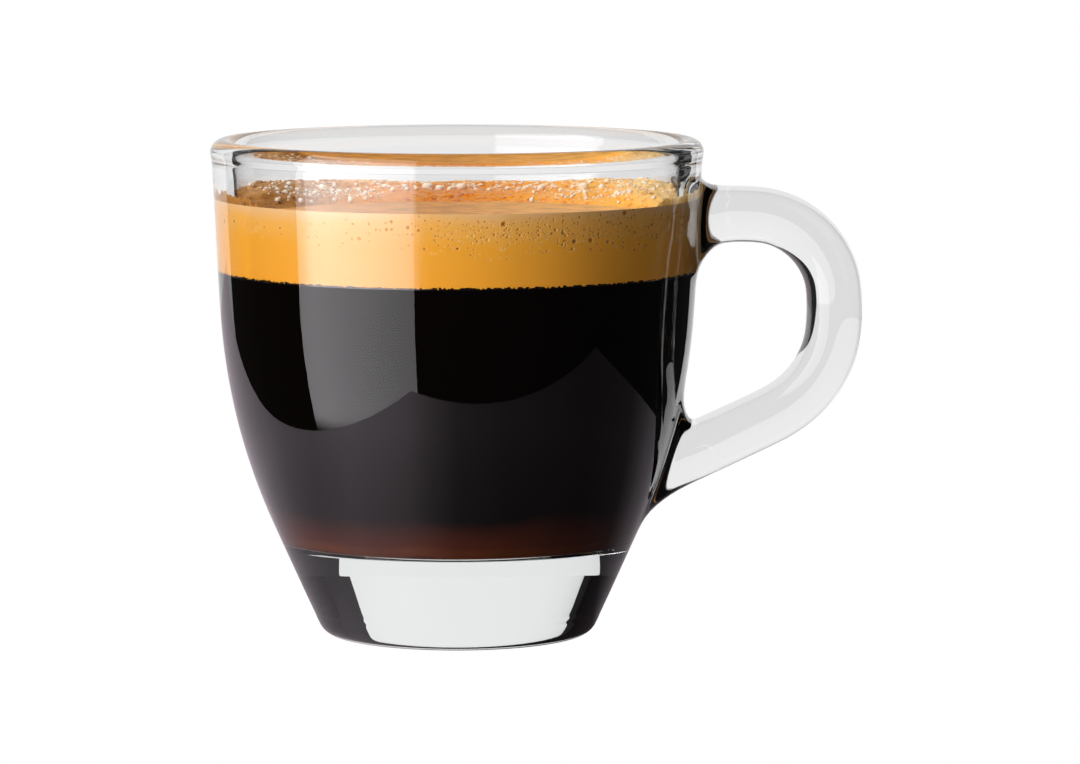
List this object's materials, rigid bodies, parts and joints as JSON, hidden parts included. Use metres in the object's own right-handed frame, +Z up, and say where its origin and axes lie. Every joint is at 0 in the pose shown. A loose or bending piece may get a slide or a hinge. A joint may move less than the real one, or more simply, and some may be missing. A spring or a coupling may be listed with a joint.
{
  "type": "double espresso",
  "caption": "Double espresso in a small clear glass cup with a side handle, thick base and beaded rim: dark coffee under a thick golden crema, with froth over all but its front.",
  "frame": {"origin": "on the cup's axis, in the plane of the ring that the foot stands on", "axes": "+Z up, +X along the handle away from the cup, -Y towards the side where the crema has no froth"},
  "size_m": [0.0795, 0.06, 0.0606],
  "materials": {
    "glass": "clear, fire-polished",
    "coffee": "dark liquid, glossy",
    "crema": "fine foam, satin",
    "froth": "coarse foam with round bubbles"
  },
  "bodies": {
    "root": {"glass_cup": "glass", "coffee": "coffee", "crema": "crema", "froth": "froth"}
  },
  "joints": []
}
